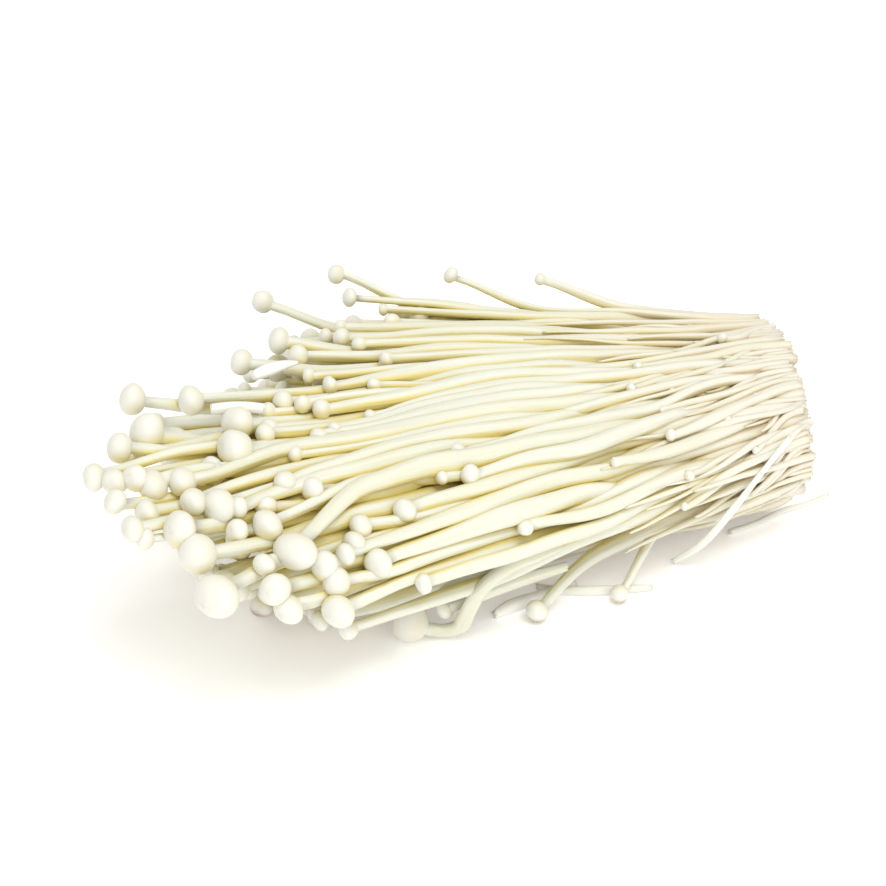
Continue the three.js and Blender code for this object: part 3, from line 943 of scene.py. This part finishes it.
def mushroom_material(name, cap_colour):
    """Flesh with streaks and fibres along the stems, browner at the root, with painted golden shade in the
    nooks between stems, painted shade on the caps' rims and undersides and painted brown shade where stems
    face down near the table.
    """
    n = Nodes(name)
    flow = n.attribute("flow", "Vector")
    streak = n.noise(flow, (1.0, 1.0, 0.06), 1.1, 4.0)
    cloud = n.noise(flow, (1.0, 1.0, 0.5), 0.35, 2.0)
    rootward = n.ramp(n.attribute("reach"), 50, -2)
    tone = n.attribute("tone")
    cap = n.attribute("is_cap")
    # the painted shade between stems is stronger towards the caps
    nook_shade = n.math("MULTIPLY", n.attribute("nook_shade"), n.ramp(n.attribute("reach"), 20, 90, 0.85, 1.4))
    colour = n.mix(rootward, STEM_COLOUR, ROOT_COLOUR)
    colour = n.mix(n.ramp(streak, 0.45, 0.75, 0.0, 0.45), colour, STREAK_COLOUR)
    colour = n.mix(n.ramp(tone, 0.3, 1.0, 0.0, 0.25), colour, STREAK_COLOUR)
    # the painted shade between stems: golden, browner towards the root
    shaded = n.mix(rootward, PAINTED_NOOK_SHADE, PAINTED_ROOT_NOOK_SHADE)
    colour = n.mix(n.ramp(nook_shade, 0.25, 0.8), colour, shaded)
    capped = n.mix(n.ramp(cloud, 0.5, 0.85, 0.0, 0.2), cap_colour, STREAK_COLOUR)
    # painted shade on the caps' rims and undersides
    capped = n.mix(n.ramp(n.attribute("cap_rim_shade"), 0, 1, 0.0, 0.8), capped, PAINTED_CAP_RIM_SHADE)
    # painted shade on the caps where they face other stems
    capped = n.mix(n.ramp(nook_shade, 0.2, 1.0, 0.0, 0.7), capped, shaded)
    speck = n.noise(flow, (1.0, 1.0, 1.0), 1.3, 2.0)
    middle = n.math("MULTIPLY", n.ramp(n.attribute("on_top"), 0.9, 1.0), n.ramp(speck, 0.5, 0.66, 0.0, 0.22))
    capped = n.mix(middle, capped, SPECK_COLOUR)
    colour = n.mix(cap, colour, capped)
    # painted brown shade on the undersides near the table
    colour = n.mix(n.ramp(n.attribute("underside_shade"), 0.1, 0.8), colour, PAINTED_UNDERSIDE_SHADE)
    n.link(colour, n.shader.inputs["Base Color"])
    n.shader.inputs["Roughness"].default_value = 0.42
    n.shader.inputs["Subsurface Weight"].default_value = 0.2
    n.shader.inputs["Subsurface Radius"].default_value = (1.0, 0.95, 0.85)
    n.shader.inputs["Subsurface Scale"].default_value = 0.001
    n.shader.inputs["Specular IOR Level"].default_value = 0.4
    bump = n.node("ShaderNodeBump")
    n.link(n.ramp(cap, 0, 1, 0.6, 0.1), bump.inputs["Strength"])
    bump.inputs["Distance"].default_value = 0.0003
    fibres = n.noise(flow, (1.0, 1.0, 0.035), 2.4, 3.0)
    n.link(fibres, bump.inputs["Height"])
    n.link(bump.outputs["Normal"], n.shader.inputs["Normal"])
    return n.material


def floor_material():
    n = Nodes("studio_floor")
    n.shader.inputs["Base Color"].default_value = (0.95, 0.95, 0.95, 1)
    n.shader.inputs["Emission Color"].default_value = (1, 1, 1, 1)
    n.shader.inputs["Emission Strength"].default_value = 0.22  # a light table
    n.shader.inputs["Roughness"].default_value = 0.6
    return n.material


# ---------------------------------------------------------------- the pieces

def add_piece(name, node, material, grown):
    """Makes one piece that stands for a CAD node."""
    piece = mesh_object(name, *grown)
    piece.data.materials.append(material)
    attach(piece, "root")
    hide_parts(node)


def build_bunch(material, torn_material):
    chosen = [m for m in chosen_mushrooms() if not m["hooked"] and not in_the_way(m)]
    filling = [m for m in filling_mushrooms(chosen) if not in_the_way(m)]
    bunch = as_arrays(chosen + filling + threads())
    points, flow, values = grow_bunch(bunch, settle(bunch))
    for name, low, high in PIECES:
        inside = (bunch["bearing"] >= low) & (bunch["bearing"] < high)
        grown = points[:, inside], flow[:, inside], {key: value[:, inside] for key, value in values.items()}
        add_piece(name, "enoki_bunch", material, grown)
    add_piece("bent_stems", "enoki_bunch", material, grow_by_hand(BENT_STEMS, 0, BENT_SEED))
    broken = grow_by_hand(BROKEN_STEMS, 1, BROKEN_SEED)
    add_piece("broken_stems", "enoki_bunch", torn_material, broken)


def build_loose_stems(material, torn_material):
    """The loose stems, of which the leaning one is drawn whiter, as the broken ones are."""
    for seed, (name, node, points) in enumerate(LOOSE_STEMS):
        finish = torn_material if name == "leaning_stem" else material
        add_piece(name, node, finish, grow_by_hand(((points, 0),), 0.8, seed))


def build_stage(material):
    bpy.ops.mesh.primitive_plane_add(size=6, location=(0, 0, 0))
    floor = bpy.context.object
    floor.name = "studio_floor"
    floor.data.materials.append(material)


def area_light(name, place_at, target, size, power):
    light = bpy.data.lights.new(name, "AREA")
    light.shape = "DISK"
    light.size = size
    light.energy = power
    lamp = bpy.data.objects.new(name, light)
    lamp.location = place_at
    lamp.rotation_euler = (Vector(target) - Vector(place_at)).to_track_quat("-Z", "Y").to_euler()
    bpy.context.scene.collection.objects.link(lamp)


def build_lights():
    area_light("key", (0.15, -0.3, 1.0), (0, 0, 0), 0.6, 4.3)
    area_light("front", (0.1, -0.95, 0.5), (0, 0, 0), 1.0, 3.0)
    world = bpy.data.worlds.new("studio")
    world.use_nodes = True
    world.node_tree.nodes["Background"].inputs["Color"].default_value = (1, 0.965, 0.89, 1)
    world.node_tree.nodes["Background"].inputs["Strength"].default_value = 0.75
    bpy.context.scene.world = world


CAMERA_AZIMUTH = -15
CAMERA_ELEVATION = 31
CAMERA_DISTANCE = 0.430
CAMERA_TARGET = Vector((-0.0045, 0.0, 0.0175))
FRAME_PIXELS = 886
FOCAL_PIXELS = 2330
SENSOR = 36


def build_camera():
    azimuth = math.radians(CAMERA_AZIMUTH)
    elevation = math.radians(CAMERA_ELEVATION)
    back = Vector(
        (
            math.sin(azimuth) * math.cos(elevation),
            -math.cos(azimuth) * math.cos(elevation),
            math.sin(elevation),
        )
    )
    camera = bpy.data.objects.new("camera", bpy.data.cameras.new("camera"))
    camera.data.sensor_width = SENSOR
    camera.data.lens = FOCAL_PIXELS * SENSOR / FRAME_PIXELS
    camera.data.clip_start = 0.01
    camera.location = CAMERA_TARGET + back * CAMERA_DISTANCE
    camera.rotation_euler = (-back).to_track_quat("-Z", "Y").to_euler()
    bpy.context.scene.collection.objects.link(camera)
    bpy.context.scene.camera = camera


build_camera()
MUSHROOM = mushroom_material("mushroom", CAP_COLOUR)
TORN = mushroom_material("torn_mushroom", WHITER_COLOUR)
build_bunch(MUSHROOM, TORN)
build_loose_stems(MUSHROOM, TORN)
build_stage(floor_material())
build_lights()
bpy.context.scene.view_settings.view_transform = "Standard"
